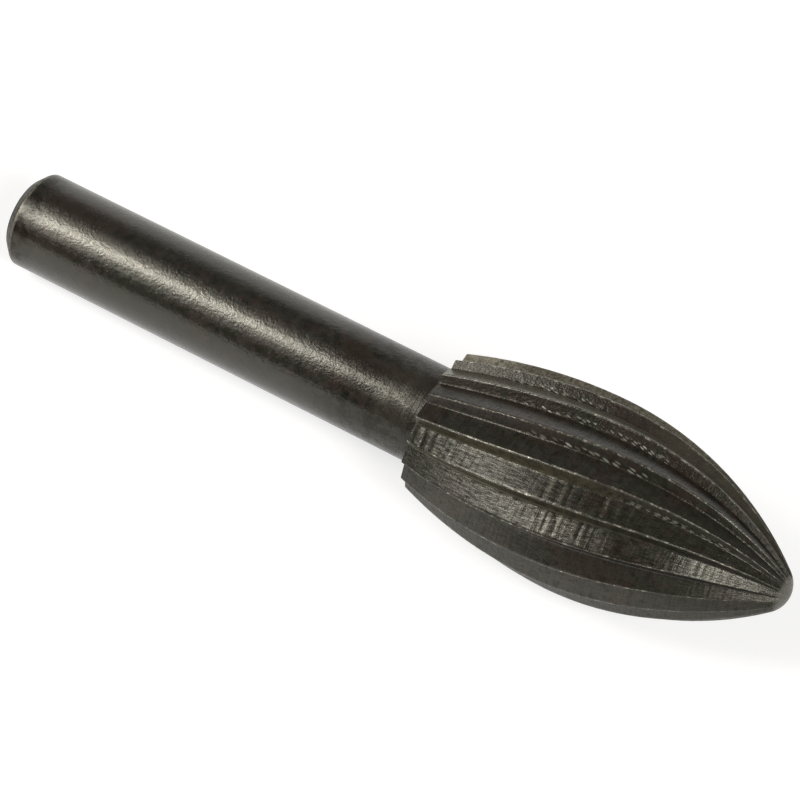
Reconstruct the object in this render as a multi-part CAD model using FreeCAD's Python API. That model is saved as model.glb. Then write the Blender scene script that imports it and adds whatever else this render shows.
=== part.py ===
import FreeCAD, Part
import math
import os

# Rotary file: one piece of hardened steel, with a plain round shank and a pointed-tree head that carries
# eighteen saw-tooth flutes on a slow left-hand twist. Lengths are in millimetres and angles in degrees.
# The file lies as it comes to rest on the plane z = 0: on the rim of the shank's end and on two neighbouring
# teeth at the head's widest place. It points along +X, tip raised a little, and the origin is on that plane,
# under the middle of the whole length.

# Shank, from its plain end to the back of the head
shank_diameter = 6.0
shank_length = 29.20
end_chamfer = 0.60
neck_fillet = 0.30

# Head, from its flat back to the tip of its nose
head_length = 22.85
head_diameter = 11.70
back_diameter = 8.60
back_to_widest = 9.50
nose_radius = 1.65

# Flutes
tooth_count = 18
flute_depth = 0.60
twist_lead = 293.0
land_width = 0.20
rake_share = 0.25

# How the fluting solid is made
ring_count = 15
ring_overrun = 0.30
rest_stations = 400

# Worked out from the sizes above
shank_radius = shank_diameter / 2
head_radius = head_diameter / 2
back_radius = back_diameter / 2
full_length = shank_length + head_length
pitch_angle = 360.0 / tooth_count
twist_rate = -360.0 / twist_lead
pitch_arc = math.radians(pitch_angle) * head_radius
tooth_rise = land_width * flute_depth / pitch_arc
land_angle = math.degrees(land_width / head_radius)

nose_centre = head_length - nose_radius
nose_run = nose_centre - back_to_widest
rear_drop = head_radius - back_radius
rear_arc_radius = (back_to_widest ** 2 + rear_drop ** 2) / (2 * rear_drop)
front_arc_radius = (nose_run ** 2 + head_radius ** 2 - nose_radius ** 2) / (2 * (head_radius - nose_radius))


def head_outline_radius(station):
    """Radius of the turned head at a distance from its back, with the front arc carried on past the nose."""
    arc_radius = rear_arc_radius if station < back_to_widest else front_arc_radius
    return head_radius - arc_radius + math.sqrt(arc_radius ** 2 - (station - back_to_widest) ** 2)


def point(along, out):
    """A point of a turned outline: its distance from the shank's end, and its radius."""
    return FreeCAD.Vector(along, 0, out)


def arc(centre, radius, start_angle, end_angle):
    """Edge of a turned outline, on a circle. Angles are measured from the axis towards the radius."""
    angles = [math.radians(a) for a in (start_angle, (start_angle + end_angle) / 2, end_angle)]
    ends = [centre + point(radius * math.cos(a), radius * math.sin(a)) for a in angles]
    return Part.Arc(*ends).toShape()


def polyline(*points):
    return [Part.LineSegment(a, b).toShape() for a, b in zip(points, points[1:])]


def turned(edges):
    """Solid turned about the X axis from the edges of a closed outline."""
    face = Part.Face(Part.Wire(Part.sortEdges(edges)[0]))
    return face.revolve(FreeCAD.Vector(0, 0, 0), FreeCAD.Vector(1, 0, 0), 360)


def shank():
    """Plain round shank with a chamfered end, filleted into the back of the head and let into it."""
    root = shank_length + back_to_widest
    neck_radius = shank_radius + neck_fillet
    fillet = arc(point(shank_length - neck_fillet, neck_radius), neck_fillet, -90, 0)
    end_side = polyline(
        point(0, 0),
        point(0, shank_radius - end_chamfer),
        point(end_chamfer, shank_radius),
        point(shank_length - neck_fillet, shank_radius),
    )
    head_side = polyline(
        point(shank_length, neck_radius),
        point(root, neck_radius),
        point(root, 0),
        point(0, 0),
    )
    return turned(end_side + [fillet] + head_side)


def head_blank():
    """Turned head before fluting: a rear arc, a front arc and a round nose, each running into the next."""
    back = point(shank_length, 0)
    widest = shank_length + back_to_widest
    rear_start = 90 + math.degrees(math.asin(back_to_widest / rear_arc_radius))
    front_end = 90 - math.degrees(math.asin(nose_run / (front_arc_radius - nose_radius)))
    edges = [
        arc(point(widest, head_radius - rear_arc_radius), rear_arc_radius, rear_start, 90),
        arc(point(widest, head_radius - front_arc_radius), front_arc_radius, 90, front_end),
        arc(point(shank_length + nose_centre, 0), nose_radius, front_end, 0),
    ]
    return turned(edges + polyline(point(full_length, 0), back, point(shank_length, back_radius)))


def tooth_ring(station):
    """Toothed outline square to the axis: each tooth has a steep cutting face and a long back slope."""
    outline_radius = head_outline_radius(station)
    tip_radius = outline_radius * (1 + tooth_rise / head_radius)
    root_radius = outline_radius * (1 - flute_depth / head_radius)
    corners = []
    for tooth in range(tooth_count):
        tip_angle = tooth * pitch_angle + twist_rate * station
        root_angle = tip_angle + rake_share * pitch_angle
        for radius, angle in ((tip_radius, tip_angle), (root_radius, root_angle)):
            turn = math.radians(angle)
            corners.append(FreeCAD.Vector(shank_length + station, radius * math.cos(turn), radius * math.sin(turn)))
    return Part.makePolygon(corners + corners[:1])


def fluting():
    """Twisted toothed bar that leaves only the teeth when the blank is trimmed to it."""
    start = -ring_overrun
    step = (head_length + 2 * ring_overrun) / (ring_count - 1)
    return Part.makeLoft([tooth_ring(start + i * step) for i in range(ring_count)], True)


def rest_slope(station):
    """Slope of a line under the shank's rim and under the near edges of two lands that straddle the lowest line."""
    half_straddle = math.radians((pitch_angle - land_angle) / 2)
    tooth_drop = head_outline_radius(station) * math.cos(half_straddle)
    return (tooth_drop - shank_radius) / (shank_length + station - end_chamfer)


def resting_station():
    """Distance from the head's back to where its teeth touch the plane that the shank's end lies on."""
    stations = [head_length * i / rest_stations for i in range(rest_stations)]
    return max(stations, key=rest_slope)


def at_rest(shape):
    """The file turned and tilted as it lies, with its shank's rim and two teeth on the plane z = 0."""
    touch = resting_station()
    tilt = math.degrees(math.atan(rest_slope(touch)))
    roll = -90 + (pitch_angle + land_angle) / 2 - twist_rate * touch
    origin = FreeCAD.Vector(0, 0, 0)
    shape.rotate(origin, FreeCAD.Vector(1, 0, 0), roll)
    shape.rotate(origin, FreeCAD.Vector(0, 1, 0), -tilt)
    slope = math.radians(tilt)
    lift = shank_radius * math.cos(slope) - end_chamfer * math.sin(slope)
    shape.translate(FreeCAD.Vector(-shape.optimalBoundingBox().Center.x, 0, lift))
    return shape


def rotary_file():
    head = head_blank().common(fluting())
    return at_rest(shank().fuse(head).removeSplitter())


os.makedirs("parts", exist_ok=True)
solid = rotary_file().Solids[0]
solid.exportStep("parts/rotary_file.step")
print("rotary_file", round(solid.Volume, 2), "mm3, valid", solid.isValid())
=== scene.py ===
import math

import bmesh
import bpy
import numpy as np
from mathutils import Matrix, Vector


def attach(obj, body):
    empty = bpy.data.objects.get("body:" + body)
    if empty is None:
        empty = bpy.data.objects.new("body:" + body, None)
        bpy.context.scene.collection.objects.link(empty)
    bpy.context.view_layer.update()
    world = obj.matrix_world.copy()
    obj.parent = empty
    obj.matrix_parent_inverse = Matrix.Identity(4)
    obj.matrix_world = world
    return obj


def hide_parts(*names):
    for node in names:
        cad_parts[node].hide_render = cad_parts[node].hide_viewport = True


# A rotary file of blackened steel, seen from above at an angle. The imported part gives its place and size, and one
# finely divided body stands for it, with the cutter's marks in its teeth. Sizes are in millimetres until the
# body's points are placed, which are in metres like everything else here. Teeth are numbered round the file from 0,
# and a turn is counted in teeth: a tooth's cutting face takes the first quarter of its turn, its back slope the rest.

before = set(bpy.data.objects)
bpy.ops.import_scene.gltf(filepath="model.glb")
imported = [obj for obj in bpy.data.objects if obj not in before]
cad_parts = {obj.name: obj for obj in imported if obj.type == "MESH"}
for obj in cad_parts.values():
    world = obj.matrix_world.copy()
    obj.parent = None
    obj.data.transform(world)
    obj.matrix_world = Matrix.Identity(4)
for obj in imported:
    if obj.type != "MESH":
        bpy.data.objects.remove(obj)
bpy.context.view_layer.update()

MM = 0.001

# Sizes of the part, as its source has them, but with the lands narrower, as the bright edges look
shank_radius = 3.0
shank_length = 29.20
end_chamfer = 0.60
neck_fillet = 0.30
head_length = 22.85
head_radius = 5.85
back_radius = 4.30
back_to_widest = 9.50
nose_radius = 1.65
tooth_count = 18
flute_depth = 0.60
twist_lead = 293.0
land_width = 0.11
rake_share = 0.25

# How the part lies: where its shank's end is, how far its axis rises, and how far it is turned about that axis
shank_end = np.array([-25.8642, 0.0, 2.9466])
rise = math.radians(4.2973)
turned = math.radians(-70.1067)

# Rows of the body: for the shank's end and its rim, distance from the end and radius; for the chamfer and the start
# of the plain shank, distance from the end; for the head's flat back, the share of the way from neck to teeth; for the
# rest, how many
end_rows = [(0.0, 0.0), (0.0, 1.0), (0.0, 1.8), (0.0, 2.25), (0.002, 2.35), (0.012, 2.392), (0.04, 2.435)]
chamfer_rows = (0.22, 0.40, 0.56)
rim_row = (0.62, shank_radius - 0.004)
shank_start, shank_rows = 0.72, 8
fillet_rows = 5
back_rows = (0.3, 0.65, 0.93)
head_rows, nose_rows = 344, 24

# Columns of one tooth, in order: its tip, the front edge of its land, shares of the way down its cutting face, places
# on the rounding of its root, and shares of the way up its back slope, where the last is the rear edge of its land
face_shares = (0.30, 0.60, 0.86)
root_shares = (0.25, 0.5, 0.75)
slope_shares = (0.06, 0.18, 0.36, 0.56, 0.76, 0.92, 1.0)
front_edge = 1
land_columns = (0, 1, 14)
high_face_column = 2
slope_columns = (8, 9, 10, 11, 12, 13)

# The cutter's ripple across each tooth's back slope: from and to, in millimetres from the head's back, then its
# spacing and depth. A tooth that isn't named here gets marks of the same kind from its own number.
ripples = {
    5: [(3.0, 12.0, 0.45, 0.006)],
    6: [(3.0, 14.0, 0.40, 0.006)],
    7: [(4.0, 9.0, 0.5, 0.004)],
    8: [(7.0, 13.0, 0.5, 0.004)],
    9: [(6.0, 10.5, 0.58, 0.010), (12.0, 18.0, 0.5, 0.004)],
    10: [(0.0, 4.2, 0.68, 0.036), (4.0, 9.0, 0.8, 0.008), (8.8, 14.2, 0.64, 0.026), (14.2, 18.0, 0.5, 0.005)],
    11: [(1.5, 3.0, 0.9, 0.010), (3.0, 8.8, 0.85, 0.008), (8.6, 13.2, 0.54, 0.032), (13.2, 16.8, 0.46, 0.008),
         (16.8, 21.3, 0.44, 0.034), (21.0, 22.0, 0.22, 0.010)],
    12: [(3.5, 9.0, 0.30, 0.007), (8.5, 18.0, 0.42, 0.008), (18.0, 21.5, 0.26, 0.022)],
    13: [(5.0, 14.0, 0.34, 0.004)],
}

# Where the cutter left slanted dashes low on the cutting faces, bare metal whose brightness is partly painted glints:
# from and to, in millimetres from the head's back, and how strong they are
dashed = {5: (6.0, 12.0, 0.25), 6: (4.5, 11.0, 0.3), 7: (3.2, 8.8, 0.45), 8: (5.0, 14.2, 0.68), 9: (7.2, 13.4, 0.95),
          10: (13.0, 20.0, 0.55), 1: (4.0, 13.0, 0.8), 2: (7.0, 15.0, 0.6), 15: (3.0, 9.0, 0.7), 16: (6.0, 14.0, 0.9)}

# Slanted feed marks low on each cutting face: the column, how far its marks lag behind, and their depth
feed_spacing = 0.36
feed_marks = ((3, 0.0, 0.003), (4, 0.2, 0.008), (5, 0.35, 0.012), (6, 0.5, 0.012), (7, 0.65, 0.008))

# What is irregular in the marks: its first seed, to which a tooth adds its own number, and the length over which it
# changes. The rough part of the feed marks also has a step in its seed from each column to the next.
irregular = {
    "spacing": (31, 1.7),
    "fine spacing": (41, 0.45),
    "ripple depth": (51, 0.4),
    "lean": (61, 0.3),
    "slope": (71, 0.15),
    "dashes": (81, 0.7),
    "nicks": (91, 0.20),
    "dips": (111, 0.9),
    "feed": (131, 1.5),
    "rough feed": (151, 0.18),
    "high face": (171, 0.2),
}
column_seed_step = 20
hidden_seed = 500

# The marks fade out before the nose: how far before the tip they have gone, and over what length they fade
marks_end, marks_fade = 1.4, 1.5

# Base colours of the steel, from oxide to bare metal, with some painted highlights, reflections and shade among them
tones = {
    "dark oxide": (0.0078, 0.0068, 0.0052, 1),
    "light oxide": (0.025, 0.0220, 0.0180, 1),
    "red oxide": (0.027, 0.0135, 0.0105, 1),
    "olive oxide": (0.0120, 0.0158, 0.0075, 1),
    "brown veil": (0.024, 0.0150, 0.0110, 1),
    "olive veil": (0.0150, 0.0152, 0.0095, 1),
    "wear_patch_and_sheen": (0.225, 0.208, 0.162, 1),
    "painted_groove_shade": (0.0085, 0.0076, 0.0032, 1),
    "painted_crest_highlight": (0.115, 0.106, 0.082, 1),
    "fibre": (0.0095, 0.0088, 0.0040, 1),
    "stain": (0.058, 0.050, 0.027, 1),
    "dust": (0.210, 0.190, 0.140, 1),
    "fine line": (0.048, 0.044, 0.033, 1),
    "edge wear and glints": (0.42, 0.395, 0.335, 1),
    "dash": (0.46, 0.45, 0.39, 1),
    "speck": (0.11, 0.10, 0.085, 1),
    "dark chamfer": (0.014, 0.0130, 0.0075, 1),
    "light chamfer": (0.070, 0.064, 0.046, 1),
    "inner edge": (0.004, 0.0035, 0.003, 1),
    "rim highlight": (0.170, 0.158, 0.130, 1),
    "nose": (0.140, 0.134, 0.116, 1),
    "neck": (0.040, 0.036, 0.029, 1),
}

# How the oxide reflects: its index of refraction where it is glossy and where it is dull, and its tint; then how far
# its finest marks stand out, in metres
glossy_index = 1.66
dull_index = 1.28
specular_tint = (1.0, 0.978, 0.87, 1.0)
bump_height = 0.000012

# Turns of the middle of single slopes and cutting faces that differ from their neighbours in the photograph
slope_7, slope_10, slope_11 = 7.62, 10.65, 11.65
face_8, face_11 = 8.12, 11.12

# The camera that the photograph was taken with, as fitted to the part's outline and tooth lines
sensor_width, lens = 36, 152.212
camera_place = (0.052339419, -0.105728229, 0.161765059)
camera_right = Vector((0.842525, 0.532577, 0.080701))
camera_down = Vector((0.469327, -0.652273, -0.595208))
camera_forward = Vector((-0.264355, 0.539353, -0.799509))

# Softboxes, all at one distance from a point in the file: share of the direction that lies along the file, lift of
# the rest in degrees, lean of the long side, width, height and power
lamp_centre = Vector((0, 0, 0.005))
lamp_distance = 0.9
lamp_colour = (1.0, 0.98, 0.93)
softboxes = {
    "left_softbox": (-0.466, 5.7, 0.60, 0.335, 0.17, 3.0),
    "wide_left_softbox": (-0.628, 5, 0, 0.27, 0.84, 3.15),
    "right_softbox": (0.72, 6, 0, 0.40, 0.30, 5.2),
}

# The floor: its half width, its own glow, and how much light it scatters
floor_reach, floor_glow, floor_scatter = 3.0, 0.70, 0.38

# Worked out from the sizes above
pitch = 2 * math.pi / tooth_count
twist_rate = -2 * math.pi / twist_lead
tooth_rise = land_width * flute_depth / (pitch * head_radius)
nose_centre = head_length - nose_radius
nose_run = nose_centre - back_to_widest
rear_drop = head_radius - back_radius
rear_arc = (back_to_widest ** 2 + rear_drop ** 2) / (2 * rear_drop)
front_arc = (nose_run ** 2 + head_radius ** 2 - nose_radius ** 2) / (2 * (head_radius - nose_radius))
nose_start = back_to_widest + nose_run * front_arc / (front_arc - nose_radius)


def outline(station):
    """Radius of the head's teeth at distances from its back, with the front arc carried on past the nose."""
    arc = np.where(station < back_to_widest, rear_arc, front_arc)
    return head_radius - arc + np.sqrt(arc ** 2 - (station - back_to_widest) ** 2)


def blank(station):
    """Radius of the turned head before its flutes are cut, with its round nose."""
    ball = np.sqrt(np.maximum(nose_radius ** 2 - (station - nose_centre) ** 2, 0.0))
    return np.where(station > nose_start, ball, outline(station))


def uneven(kind, tooth, stations):
    """Smooth irregular values between -1 and 1 along a tooth, for one kind of mark."""
    seed, length = irregular[kind]
    steps = np.random.default_rng(seed + tooth).uniform(-1, 1, 4096)
    spot = stations / length + 1000.0
    left = np.floor(spot).astype(int)
    part = spot - left
    part = part * part * (3 - 2 * part)
    return steps[left % len(steps)] * (1 - part) + steps[(left + 1) % len(steps)] * part


def hidden_ripples(tooth):
    """Two ripples for a tooth that the photograph doesn't show, one near the head's back and one nearer the tip."""
    near, far = np.random.default_rng(hidden_seed + tooth).uniform(0.5, 9.0, 2)
    return [(near, near + 4.0, 0.42, 0.014), (far + 6, far + 12, 0.55, 0.010)]


def tooth_columns():
    """For each column of one tooth: its turn in teeth, and its point on the toothed outline of radius 1."""
    tip, root = 1 + tooth_rise / head_radius, 1 - flute_depth / head_radius
    low = root * np.exp(1j * rake_share * pitch)
    high = tip * np.exp(1j * pitch)
    along = np.linspace(0, 1, 4001)
    slope_line = low + along * (high - low)
    land_edge = along[np.argmax(np.abs(slope_line) >= 1)]
    rake_line = tip + along * (low - tip)
    rake_edge = along[np.argmax(np.abs(rake_line) <= 1)]
    turns, points = [], []

    def place(point, turn):
        points.append(point)
        turns.append(turn)

    for share in (0.0, rake_edge, *face_shares):
        place(tip + share * (low - tip), rake_share * share)
    face_point, face_turn = points[-1], turns[-1]
    start = slope_shares[0] * land_edge
    slope_point, slope_turn = low + start * (high - low), rake_share + (1 - rake_share) * start
    for share in root_shares:
        near, middle, far = (1 - share) ** 2, 2 * share * (1 - share), share * share
        place(near * face_point + middle * low + far * slope_point,
              near * face_turn + middle * rake_share + far * slope_turn)
    for share in slope_shares:
        place(low + share * land_edge * (high - low), rake_share + (1 - rake_share) * share * land_edge)
    return np.array(turns), np.array(points)


def lattice(rows, columns):
    """A flat grid with a vertex for each row along the body and each column round it, and each one's row and column."""
    body = bmesh.new()
    bmesh.ops.create_grid(body, x_segments=rows - 1, y_segments=columns, size=1)
    spots = np.array([v.co[:2] for v in body.verts])
    row = np.rint((spots[:, 0] + 1) / 2 * (rows - 1)).astype(int)
    column = np.rint((spots[:, 1] + 1) / 2 * columns).astype(int)
    return body, row, column


def shank_outline():
    """Distance from the head's back, and radius, of each row from the middle of the shank's end to the neck."""
    fillet = np.linspace(-90, 0, fillet_rows + 1)[1:] * math.pi / 180
    rows = [(-shank_length + s, r) for s, r in end_rows]
    rows += [(-shank_length + s, shank_radius - end_chamfer + s) for s in chamfer_rows]
    rows += [(-shank_length + rim_row[0], rim_row[1])]
    rows += [(s, shank_radius) for s in np.linspace(-shank_length + shank_start, -neck_fillet, shank_rows)]
    rows += [(-neck_fillet + neck_fillet * math.cos(a), shank_radius + neck_fillet + neck_fillet * math.sin(a))
             for a in fillet]
    return rows


def head_stations():
    """Distances of the head's rows from its back: evenly spaced up to the nose, then evenly round it."""
    to_nose = np.linspace(0, nose_start, head_rows - nose_rows)
    swing = np.linspace(math.asin((nose_start - nose_centre) / nose_radius), math.pi / 2, nose_rows + 1)[1:]
    stations = np.concatenate([to_nose, nose_centre + nose_radius * np.sin(swing)])
    stations[-1] = head_length
    return stations


def inside(stations, first, last, blur):
    """1 between two stations and 0 elsewhere, going over along a length round each of them."""
    return np.clip((stations - first) / blur + 0.5, 0, 1) * np.clip((last - stations) / blur + 0.5, 0, 1)


def cutter_marks(s, tooth, local, turn):
    """Depth of the cutter's marks, shade of the ripple's bars and strength of the dashes, on every row and column.

    The rows are given by their stations, and the columns by their tooth, number in that tooth and turn in it.
    """
    on_slope, on_land = np.isin(local, slope_columns), np.isin(local, land_columns)
    depth = np.zeros((len(s), len(tooth)))
    ribs = np.full(depth.shape, 0.5)
    dashes = np.zeros(depth.shape)
    for k in range(tooth_count):
        mine = tooth == k
        for first, last, spacing, deep in ripples.get(k, hidden_ripples(k)):
            wander = s / spacing + 0.55 * uneven("spacing", k, s) + 0.30 * uneven("fine spacing", k, s)
            strong = 0.60 + 0.40 * uneven("ripple depth", k, s)
            here = inside(s, first, last, 0.5) * strong
            lean = -0.50 * turn + 0.12 * uneven("lean", k, s)[:, None] * np.sin(7.0 * turn)
            bar = np.abs(np.sin(math.pi * (wander[:, None] + lean)))
            depth += np.where(mine & on_slope, (here * deep)[:, None] * (1 - bar), 0)
            ribs += np.where(mine & on_slope, np.minimum(deep / 0.028, 1) * here[:, None] * (bar - 0.5), 0)
        if k in dashed:
            first, last, bold = dashed[k]
            strong = 0.7 + 0.3 * uneven("dashes", k, s)
            dashes += np.where(mine, (bold * inside(s, first, last, 2.0) * strong)[:, None], 0)
        grained = 0.002 + 0.002 * uneven("slope", k, s)
        depth += np.where(mine & on_slope, grained[:, None], 0)
        nick = 0.020 * np.clip(uneven("nicks", k, s), 0, 1) ** 2 + 0.008 * np.clip(uneven("dips", k, s), 0, 1)
        depth += np.where(mine & on_land, nick[:, None], 0)
        for column, lag, deep in feed_marks:
            feed = np.sin(2 * math.pi * (s / feed_spacing + 0.5 * uneven("feed", k, s) - lag))
            cut = deep * (0.5 + 0.5 * feed) + 0.004 * uneven("rough feed", column_seed_step * column + k, s)
            depth += np.where(mine & (local == column), cut[:, None], 0)
        high = 0.006 * np.abs(uneven("high face", k, s))
        depth += np.where(mine & (local == high_face_column), high[:, None], 0)
    return depth, ribs, dashes


def fluted(stations, section, depth):
    """The head's points, square to its axis: the marked teeth, kept inside the turned blank and twisted."""
    x = stations[:, None]
    edge = outline(x) * section
    fade = np.clip((head_length - marks_end - x) / marks_fade, 0, 1)
    edge = edge * (1 - np.maximum(depth, 0) * fade / np.maximum(np.abs(edge), 0.2))
    reach = np.abs(edge)
    limit = blank(x)
    edge = np.where(reach > limit, edge * limit / np.maximum(reach, 1e-6), edge)
    return edge * np.exp(1j * twist_rate * x)


def file_body():
    """The whole file as one closed mesh. Its UV map holds the turn in teeth, and millimetres from the head's back."""
    turns, star = tooth_columns()
    per_tooth = len(turns)
    columns = per_tooth * tooth_count
    tooth = np.repeat(np.arange(tooth_count), per_tooth)
    local = np.tile(np.arange(per_tooth), tooth_count)
    phase = tooth + np.tile(turns, tooth_count)
    section = np.tile(star, tooth_count) * np.exp(1j * tooth * pitch)
    plain = np.exp(1j * phase * pitch)

    stations = head_stations()
    depth, ribs, dashes = cutter_marks(stations, tooth, local, np.tile(turns, tooth_count))
    head = fluted(stations, section, depth)

    plain_rows = shank_outline()
    rows = [r * plain for _, r in plain_rows]
    places = [s for s, _ in plain_rows]
    neck = shank_radius + neck_fillet
    for share in back_rows:
        rows.append(neck * plain * (1 - share) + head[0] * share)
        places.append(0.0)
    rows = np.vstack([np.array(rows), head])
    places = np.concatenate([places, stations])
    first_head = len(plain_rows) + len(back_rows)
    ribs = np.vstack([np.full((first_head, columns), 0.5), ribs])
    dashes = np.vstack([np.zeros((first_head, columns)), dashes])

    body, row, column = lattice(len(rows), columns)
    around = column % columns
    ring = rows[row, around] * np.exp(1j * turned)
    axial = places[row] + shank_length
    cos, sin = math.cos(rise), math.sin(rise)
    spots = np.stack([
        shank_end[0] + axial * cos - ring.imag * sin,
        shank_end[1] + ring.real,
        shank_end[2] + axial * sin + ring.imag * cos,
    ], 1) * MM
    turn = np.append(phase, tooth_count)[column]
    uv = body.loops.layers.uv.new("marks")
    ribs_layer = body.verts.layers.float.new("ribs")
    dashes_layer = body.verts.layers.float.new("dashes")
    rib, dash = ribs[row, around], dashes[row, around]
    for i, (v, spot) in enumerate(zip(body.verts, spots)):
        v.co = spot
        v[ribs_layer] = rib[i]
        v[dashes_layer] = dash[i]
    for face in body.faces:
        for loop in face.loops:
            i = loop.vert.index
            loop[uv].uv = (turn[i], places[row[i]])
        face.smooth = True

    # corners that stay crisp: the rims of the shank's end, neck and head's back, and the front edges of the lands
    rims = {len(end_rows) + len(chamfer_rows), len(plain_rows) - 1, first_head}
    last_crisp = first_head + head_rows - nose_rows - 2
    for line in body.edges:
        a, b = (v.index for v in line.verts)
        if row[a] == row[b]:
            line.smooth = row[a] not in rims
        elif column[a] == column[b]:
            in_flutes = first_head <= min(row[a], row[b]) < last_crisp
            line.smooth = not (local[around[a]] == front_edge and in_flutes)
    bmesh.ops.remove_doubles(body, verts=body.verts, dist=1e-9)
    bmesh.ops.dissolve_degenerate(body, edges=body.edges, dist=1e-10)
    bmesh.ops.recalc_face_normals(body, faces=body.faces)
    if body.calc_volume(signed=True) < 0:
        bmesh.ops.reverse_faces(body, faces=body.faces)
    mesh = bpy.data.meshes.new("rotary_file_body")
    body.to_mesh(mesh)
    body.free()
    piece = bpy.data.objects.new("rotary_file_body", mesh)
    bpy.context.scene.collection.objects.link(piece)
    return piece


class Value:
    """An output socket of a material's node that can stand in a sum: each operator adds a Math node."""

    def __init__(self, tree, socket=None):
        self.tree = tree
        self.socket = socket

    def node(self, kind, settings=None, inputs=None, output=0):
        """A new node in the same tree: its settings are made first, then its sockets get values or links."""
        made = self.tree.nodes.new(kind)
        for name, value in (settings or {}).items():
            setattr(made, name, value)
        for name, value in (inputs or {}).items():
            if isinstance(value, Value):
                self.tree.links.new(value.socket, made.inputs[name])
            else:
                made.inputs[name].default_value = value
        return Value(self.tree, made.outputs[output] if len(made.outputs) else None)

    def beside(self, output):
        """Another output of the same node."""
        return Value(self.tree, self.socket.node.outputs[output])

    def maths(self, operation, *others):
        terms = dict(enumerate((self,) + others))
        return self.node("ShaderNodeMath", {"operation": operation}, terms)

    def __add__(self, other):
        return self.maths("ADD", other)

    __radd__ = __add__

    def __mul__(self, other):
        return self.maths("MULTIPLY", other)

    __rmul__ = __mul__

    def __sub__(self, other):
        return self.maths("SUBTRACT", other)

    def __rsub__(self, other):
        return self.node("ShaderNodeMath", {"operation": "SUBTRACT"}, {0: other, 1: self})

    def fraction(self):
        return self.maths("FRACT")

    def least(self, other):
        return self.maths("MINIMUM", other)

    def most(self, other):
        return self.maths("MAXIMUM", other)

    def away(self, place):
        """Distance from a place, on the same scale."""
        return (self - place).maths("ABSOLUTE")

    def between(self, low, high, start=0.0, end=1.0):
        """Goes smoothly from start to end as this goes from low to high."""
        return self.node("ShaderNodeMapRange", {"interpolation_type": "SMOOTHSTEP"},
                         {"Value": self, "From Min": low, "From Max": high, "To Min": start, "To Max": end})

    def near(self, place, within, beyond):
        """1 within a distance of a place, and 0 beyond a longer one."""
        return self.away(place).between(within, beyond, 1.0, 0.0)

    def mixed(self, low, high):
        """Colour low where this is 0 and high where it is 1."""
        return self.node("ShaderNodeMix", {"data_type": "RGBA"}, {0: self, 6: low, 7: high}, 2)

    def noise(self, where, scale, detail, roughness):
        return self.node("ShaderNodeTexNoise", None,
                         {"Vector": where, "Scale": scale, "Detail": detail, "Roughness": roughness})


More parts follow.
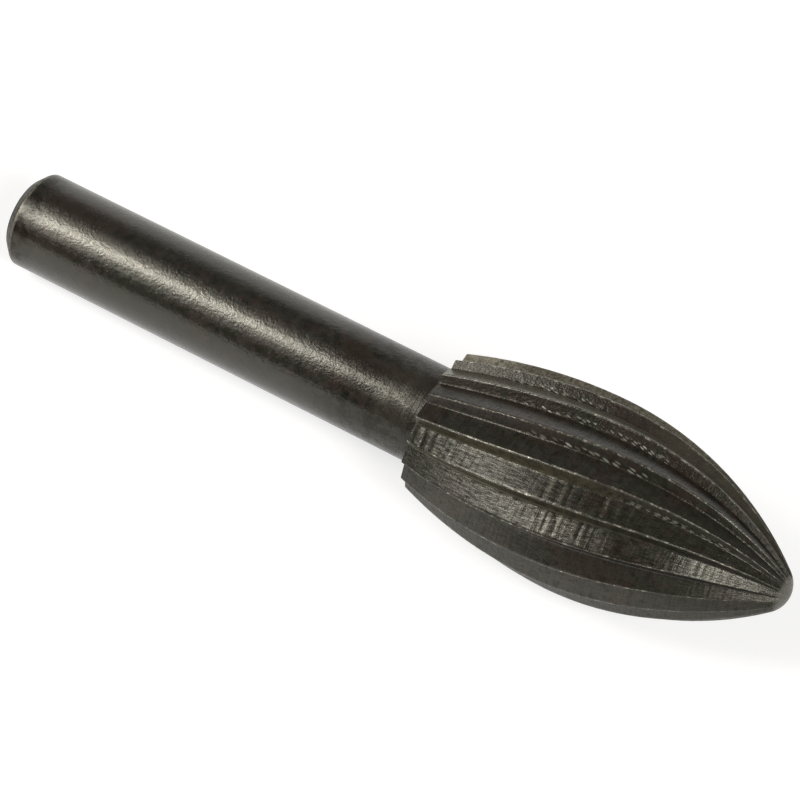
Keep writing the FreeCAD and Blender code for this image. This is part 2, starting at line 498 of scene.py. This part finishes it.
def blackened_steel():
    """Dark oxide on machined steel: speckled and semi-gloss, with bare metal and painted glints along the cutting
    edges, and some painted shade and highlights.
    """
    material = bpy.data.materials.new("blackened_steel")
    material.use_nodes = True
    tree = material.node_tree
    tree.nodes.clear()
    start = Value(tree)

    place = start.node("ShaderNodeTexCoord", output="Object")
    marks = start.node("ShaderNodeUVMap", {"uv_map": "marks"})
    turn = start.node("ShaderNodeSeparateXYZ", None, {0: marks})
    along = turn.beside("Y")
    share = turn.fraction()
    head = along.between(-0.02, 0.02)
    shank = 1 - head

    def streaked(in_teeth, in_millimetres, detail, roughness):
        """Noise stretched over the body: how often it changes over one tooth, and over one millimetre along it."""
        where = start.node("ShaderNodeCombineXYZ", None, {0: turn * in_teeth, 1: along * in_millimetres})
        return start.noise(where, 1.0, detail, roughness)

    def one_slope(middle):
        """1 on the back slope with this middle, and 0 on the other slopes."""
        return turn.near(middle, 0.33, 0.37)

    def one_face(middle):
        """1 on the cutting face with this middle, and 0 on the other faces."""
        return turn.near(middle, 0.3, 0.4)

    # the oxide is nearly black, mottled in brown, olive and a little red
    cloud = start.noise(place, 420.0, 2.0, 0.5)
    mottle = start.noise(place, 1900.0, 3.0, 0.65)
    tint = start.noise(place, 2300.0, 1.0, 0.5)
    lump = start.noise(place, 3300.0, 2.0, 0.6)
    grain = start.noise(place, 7800.0, 2.0, 0.6)
    veil = start.noise(place, 260.0, 2.0, 0.5)
    oxide = mottle.between(0.34, 0.68).mixed(tones["dark oxide"], tones["light oxide"])
    oxide = (tint.between(0.54, 0.66) * 0.5).mixed(oxide, tones["red oxide"])
    oxide = (tint.between(0.46, 0.34) * 0.45).mixed(oxide, tones["olive oxide"])
    oxide = (veil.between(0.50, 0.62) * 0.5).mixed(oxide, tones["brown veil"])
    oxide = (veil.between(0.48, 0.38) * 0.5).mixed(oxide, tones["olive veil"])

    # where the tooth's parts are
    cutting_face = share.between(0.01, 0.04) * share.between(0.25, 0.30, 1.0, 0.0) * head
    slope = share.between(0.25, 0.30) * head

    # paler patch over the teeth that took the most rubbing, most of all at the head's back: partly wear and partly a
    # painted reflection; and slope 7 painted paler as a painted reflection of the floor behind it
    patchy = 0.30 + 0.45 * lump.between(0.34, 0.66) + 0.45 * grain.between(0.40, 0.60)
    from_back = 0.7 * along.between(1.2, 4.5, 1.0, 0.0) + 0.5 * along.between(10.0, 20.0, 1.0, 0.55)
    wear_patch_and_sheen = turn.near(5.6, 0.9, 1.5) * head * patchy * from_back
    painted_floor_reflection = one_slope(slope_7) * along.between(6.0, 18.0, 1.0, 0.6) * head
    colour = (wear_patch_and_sheen * 0.9 + painted_floor_reflection * 0.42).mixed(oxide, tones["wear_patch_and_sheen"])

    # the ripple's hollows are painted dark as painted shade, and its crests painted paler as painted highlights
    ribs = start.node("ShaderNodeAttribute", {"attribute_name": "ribs"}, output="Fac")
    dotted = streaked(9.0, 3.0, 2.0, 0.6)
    painted_groove_shade = ribs.between(0.42, 0.15) * slope
    painted_crest_highlight = ribs.between(0.66, 0.92) * slope * (0.20 + 0.80 * dotted.between(0.42, 0.60))
    colour = (painted_groove_shade * 0.85).mixed(colour, tones["painted_groove_shade"])
    colour = (painted_crest_highlight * 0.85).mixed(colour, tones["painted_crest_highlight"])

    # crumpled fibres along the slopes, between the ripple's bars, strongest on slopes 10 and 11
    fibre = streaked(13.0, 1.4, 3.0, 0.62)
    crumpled = slope * turn.away(11.1).between(0.90, 1.05, 1.0, 0.35)
    colour = (fibre.between(0.52, 0.38) * crumpled * 0.6).mixed(colour, tones["fibre"])

    # the cutting faces next to the brightest slopes are stained olive brown, one other is dusty, and the face of tooth
    # 11 is paler towards the head's back
    stained = cutting_face * turn.near(10.5, 0.9, 1.0) * along.between(17.0, 8.0)
    stained = stained * (0.4 + 0.6 * mottle.between(0.38, 0.62))
    colour = (stained * 0.85).mixed(colour, tones["stain"])
    pale = cutting_face * one_face(face_11) * along.between(9.0, 3.0)
    dusty = cutting_face * turn.near(6.6, 0.7, 0.9) * along.between(11.0, 14.0)
    colour = (pale * 0.35 + dusty * 0.10).mixed(colour, tones["dust"])

    # fine lines across the slopes, left by the cutter
    lines = streaked(1.1, 8.0, 3.0, 0.65)
    colour = (lines.between(0.52, 0.68) * slope * 0.22).mixed(colour, tones["fine line"])

    # bright broken line along each tooth's edge: bare metal worn on the edge, with painted glints in beads along it
    kept = streaked(5.0, 0.55, 2.0, 0.5)
    broken = streaked(7.0, 2.6, 3.0, 0.7)
    beaded = streaked(7.0, 6.5, 1.0, 0.5)
    tip = share.least(1 - share).between(0.006, 0.050, 1.0, 0.0) * head
    bright = broken.between(0.50, 0.62) * kept.between(0.32, 0.58) * (0.45 + 1.1 * beaded.between(0.44, 0.62))
    edge_wear_and_glints = tip * (0.16 * kept.between(0.35, 0.6) + bright).least(1.0)
    colour = edge_wear_and_glints.mixed(colour, tones["edge wear and glints"])

    # slanted bright dashes that the cutter left low on the cutting faces, coarser on tooth 9 than on the others: partly
    # bare metal, partly painted glints
    presence = start.node("ShaderNodeAttribute", {"attribute_name": "dashes"}, output="Fac")
    fineness = turn.away(9.2).between(0.55, 0.65, 0.74, 1.08)
    slid = start.node("ShaderNodeCombineXYZ", None, {0: (along * 0.906 + turn * 1.35) * fineness * 2.0,
                                                     1: (turn * 2.90 - along * 0.31) * fineness * 6.4})
    dash = start.node("ShaderNodeTexVoronoi", {"voronoi_dimensions": "2D"},
                      {"Vector": slid, "Scale": 1.0, "Randomness": 0.55})
    lively = start.node("ShaderNodeSeparateXYZ", None, {0: dash.beside("Color")})
    strip = share.near(0.205, 0.035, 0.065) * head
    dashes = strip * dash.between(0.18, 0.42, 1.0, 0.0) * lively.between(0.12, 0.62) * presence
    colour = (dashes * 0.9).mixed(colour, tones["dash"])

    # a few pale specks and fine slanting scratches on the shank
    cell = start.node("ShaderNodeTexVoronoi", None, {"Vector": place, "Scale": 900.0})
    chosen = start.node("ShaderNodeSeparateXYZ", None, {0: cell.beside("Color")})
    speck = cell.between(0.03, 0.075, 1.0, 0.0) * chosen.between(0.80, 0.82) * shank
    colour = (speck * 0.8).mixed(colour, tones["speck"])
    slant = start.node("ShaderNodeCombineXYZ", None, {0: (along + turn * 0.45) * 8.0, 1: (turn - along * 0.45) * 0.9})
    scratch = start.noise(slant, 1.0, 3.0, 0.7).between(0.60, 0.74) * shank

    # the chamfer at the shank's end is duller, with a dark inner edge, and a rim where it meets the shank painted paler
    # as a painted highlight along that edge
    chamfer = along.between(-28.66, -28.60, 1.0, 0.0)
    inner = along.between(-29.10, -28.99, 1.0, 0.0)
    rim = along.near(-28.53, 0.04, 0.13) * (0.35 + 0.65 * lump.between(0.34, 0.54))
    mottled_chamfer = lump.between(0.38, 0.62).mixed(tones["dark chamfer"], tones["light chamfer"])
    colour = (chamfer * 0.9).mixed(colour, mottled_chamfer)
    colour = inner.mixed(colour, tones["inner edge"])
    colour = (rim * 0.75).mixed(colour, tones["rim highlight"])

    # the nose is painted paler, a painted highlight on its round end
    nose = along.between(22.30, 22.55)
    colour = (nose * 0.8).mixed(colour, tones["nose"])

    # the shank beside the head is painted paler, a painted sheen, with lines round it that turning left
    neck = along.between(-4.5, -1.2) * shank
    turned_lines = streaked(0.25, 9.0, 2.0, 0.6)
    colour = (along.between(-5.0, -1.2) * shank * 0.55).mixed(colour, tones["neck"])

    # the oxide has gone dull on the cutting faces, in the ripple's hollows, on a stretch of slopes 10 and 11, and at
    # the shank's neck and end, and slope 11 is glossier near the nose
    dull_stretch = one_slope(slope_11) * along.near(15.3, 1.4, 2.1)
    shadowed = one_slope(slope_10) * along.between(4.4, 3.0)
    glossy = one_slope(slope_11) * along.between(17.0, 18.5)
    root_strip = share.near(0.25, 0.05, 0.09) * head * presence
    dull_neck = along.between(-9.5, -1.8) * shank
    far_end = along.between(-26.6, -28.0) * shank
    dull = (cutting_face * 0.65 * (1 - dashes)
            + cutting_face * one_face(face_8) * along.between(12.5, 16.0) * 0.35
            + root_strip * (1 - dashes) * 0.6
            + painted_groove_shade * 0.7
            + slope * lines.between(0.50, 0.36) * 0.25
            + crumpled * fibre.between(0.54, 0.40) * 0.60
            + slope * lump.between(0.46, 0.36) * 0.25
            + slope * along.between(2.4, 0.8) * 0.30
            + dull_stretch * 0.5
            + shadowed * 0.45 * tint.between(0.62, 0.46)
            - glossy * 0.45
            + dull_neck * (0.60 + 0.30 * mottle.between(0.58, 0.44))
            + far_end * (0.40 + 0.40 * mottle.between(0.60, 0.42))
            + chamfer * (0.62 + 0.38 * lump.between(0.60, 0.40))
            + inner).least(1.0).most(0.0)
    metal = (edge_wear_and_glints * 0.5 + dashes * 0.35).least(1.0)
    rough = (0.17 + grain.between(0.35, 0.65) * 0.07 + cloud * 0.06 + slope * 0.05 + cutting_face * 0.08
             + wear_patch_and_sheen * 0.20 + neck * 0.04 + edge_wear_and_glints * 0.10 + chamfer * 0.20 + inner * 0.20)
    height = (grain * (1.3 - slope * 1.1 + cutting_face * 1.1 + wear_patch_and_sheen * 0.4 + chamfer * 1.0)
              + lump * (1.0 - slope * 0.65 + cutting_face * 1.3 + chamfer * 2.0)
              + mottle * (1.0 - slope * 0.35)
              + lines * slope * 1.15
              + fibre * crumpled * 2.0
              - scratch * 0.25
              + turned_lines * neck * 1.6)
    bump = start.node("ShaderNodeBump", None, {"Strength": 1.0, "Distance": bump_height, "Height": height})

    def coated(index):
        """The steel under oxide of one index of refraction."""
        return start.node("ShaderNodeBsdfPrincipled", None, {
            "IOR": index, "Specular Tint": specular_tint,
            "Base Color": colour, "Metallic": metal, "Roughness": rough, "Normal": bump,
        })

    both = start.node("ShaderNodeMixShader", None, {0: dull, 1: coated(glossy_index), 2: coated(dull_index)})
    start.node("ShaderNodeOutputMaterial", None, {"Surface": both})
    return material


def white_surround(name, seen, lit):
    """A pale stage material that camera, mirror and glass rays see as white, and that still takes the part's shadow."""
    material = bpy.data.materials.new(name)
    material.use_nodes = True
    tree = material.node_tree
    tree.nodes.clear()
    start = Value(tree)
    camera_ray = start.node("ShaderNodeLightPath", output="Is Camera Ray")
    watched = camera_ray.most(camera_ray.beside("Is Glossy Ray")).most(camera_ray.beside("Is Transmission Ray"))
    matt = start.node("ShaderNodeBsdfDiffuse", None, {"Color": (lit, lit, lit, 1)})
    spot = start.node("ShaderNodeSeparateXYZ", None, {0: start.node("ShaderNodeTexCoord", output="Object")})
    # to all other rays the floor glows less from its middle on towards the file's tip
    level = seen * (1 - 0.5 * spot.between(-0.005, 0.05) * (1 - camera_ray))
    glow = start.node("ShaderNodeEmission", None, {"Color": (1, 1, 1, 1), "Strength": level})
    both = start.node("ShaderNodeAddShader", None, {0: matt, 1: glow})
    mixed = start.node("ShaderNodeMixShader", None, {0: watched, 1: matt, 2: both})
    start.node("ShaderNodeOutputMaterial", None, {"Surface": mixed})
    return material


def floor():
    mesh = bpy.data.meshes.new("floor")
    form = bmesh.new()
    bmesh.ops.create_grid(form, x_segments=1, y_segments=1, size=floor_reach)
    form.to_mesh(mesh)
    form.free()
    ground = bpy.data.objects.new("floor", mesh)
    bpy.context.scene.collection.objects.link(ground)
    mesh.materials.append(white_surround("pale_floor", floor_glow, floor_scatter))


def studio():
    """World: white where the camera looks past the floor, bright low behind the part, and dim elsewhere."""
    world = bpy.data.worlds.new("studio")
    bpy.context.scene.world = world
    world.use_nodes = True
    tree = world.node_tree
    tree.nodes.clear()
    start = Value(tree)
    way = start.node("ShaderNodeTexCoord", output="Generated")
    aside = start.node("ShaderNodeSeparateXYZ", None, {0: way})
    up = aside.beside("Z")
    far = aside.beside("Y")
    camera_ray = start.node("ShaderNodeLightPath", output="Is Camera Ray")
    lowered = up + aside.between(-0.25, 0.35) * 0.42 + aside.between(-0.50, -0.75) * 0.40
    low = 1 - lowered.between(0.32, 0.64)
    behind = far.between(-0.2, 0.5)
    level = camera_ray.most(low * behind * 0.85 + 0.10)
    sky = start.node("ShaderNodeBackground", None, {"Color": (1, 1, 1, 1), "Strength": level})
    start.node("ShaderNodeOutputWorld", None, {"Surface": sky})


def softbox(name, toward, across, width, height, power):
    """A softbox in a direction from the part, with its long side along another direction."""
    toward = Vector(toward).normalized()
    across = Vector(across)
    across = (across - across.dot(toward) * toward).normalized()
    upward = toward.cross(across)
    lamp = bpy.data.lights.new(name, "AREA")
    lamp.shape = "RECTANGLE"
    lamp.color = lamp_colour
    lamp.size, lamp.size_y, lamp.energy = width, height, power
    stand = bpy.data.objects.new(name, lamp)
    bpy.context.scene.collection.objects.link(stand)
    turn = Matrix((across, upward, toward)).transposed().to_4x4()
    stand.matrix_world = Matrix.Translation(lamp_centre + toward * lamp_distance) @ turn


def camera():
    """The camera of the photograph."""
    data = bpy.data.cameras.new("camera")
    data.sensor_width = sensor_width
    data.lens = lens
    data.clip_start, data.clip_end = 0.01, 20
    view = bpy.data.objects.new("camera", data)
    turn = Matrix((camera_right, -camera_down, -camera_forward)).transposed().to_4x4()
    view.matrix_world = Matrix.Translation(camera_place) @ turn
    bpy.context.scene.collection.objects.link(view)
    bpy.context.scene.camera = view


body = file_body()
body.data.materials.append(blackened_steel())
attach(body, "root")
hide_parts("rotary_file")

floor()
studio()

# Directions for the softboxes: along the file, square to it from where its highlight is seen, and up from that
axis = Vector((math.cos(rise), 0, math.sin(rise)))
facing = Vector((-0.0617, -0.570, 0.820))
upper = axis.cross(facing)
if upper.z < 0:
    upper = -upper


def aimed(along, lift):
    """Direction with a share along the file's axis, its rest lifted by degrees from the facing direction."""
    out = math.sqrt(1 - along ** 2)
    return along * axis + out * (math.cos(math.radians(lift)) * facing + math.sin(math.radians(lift)) * upper)


for name, (along, lift, lean, width, height, power) in softboxes.items():
    softbox(name, aimed(along, lift), axis + lean * upper, width, height, power)
camera()

scene = bpy.context.scene
scene.view_settings.view_transform = "Standard"
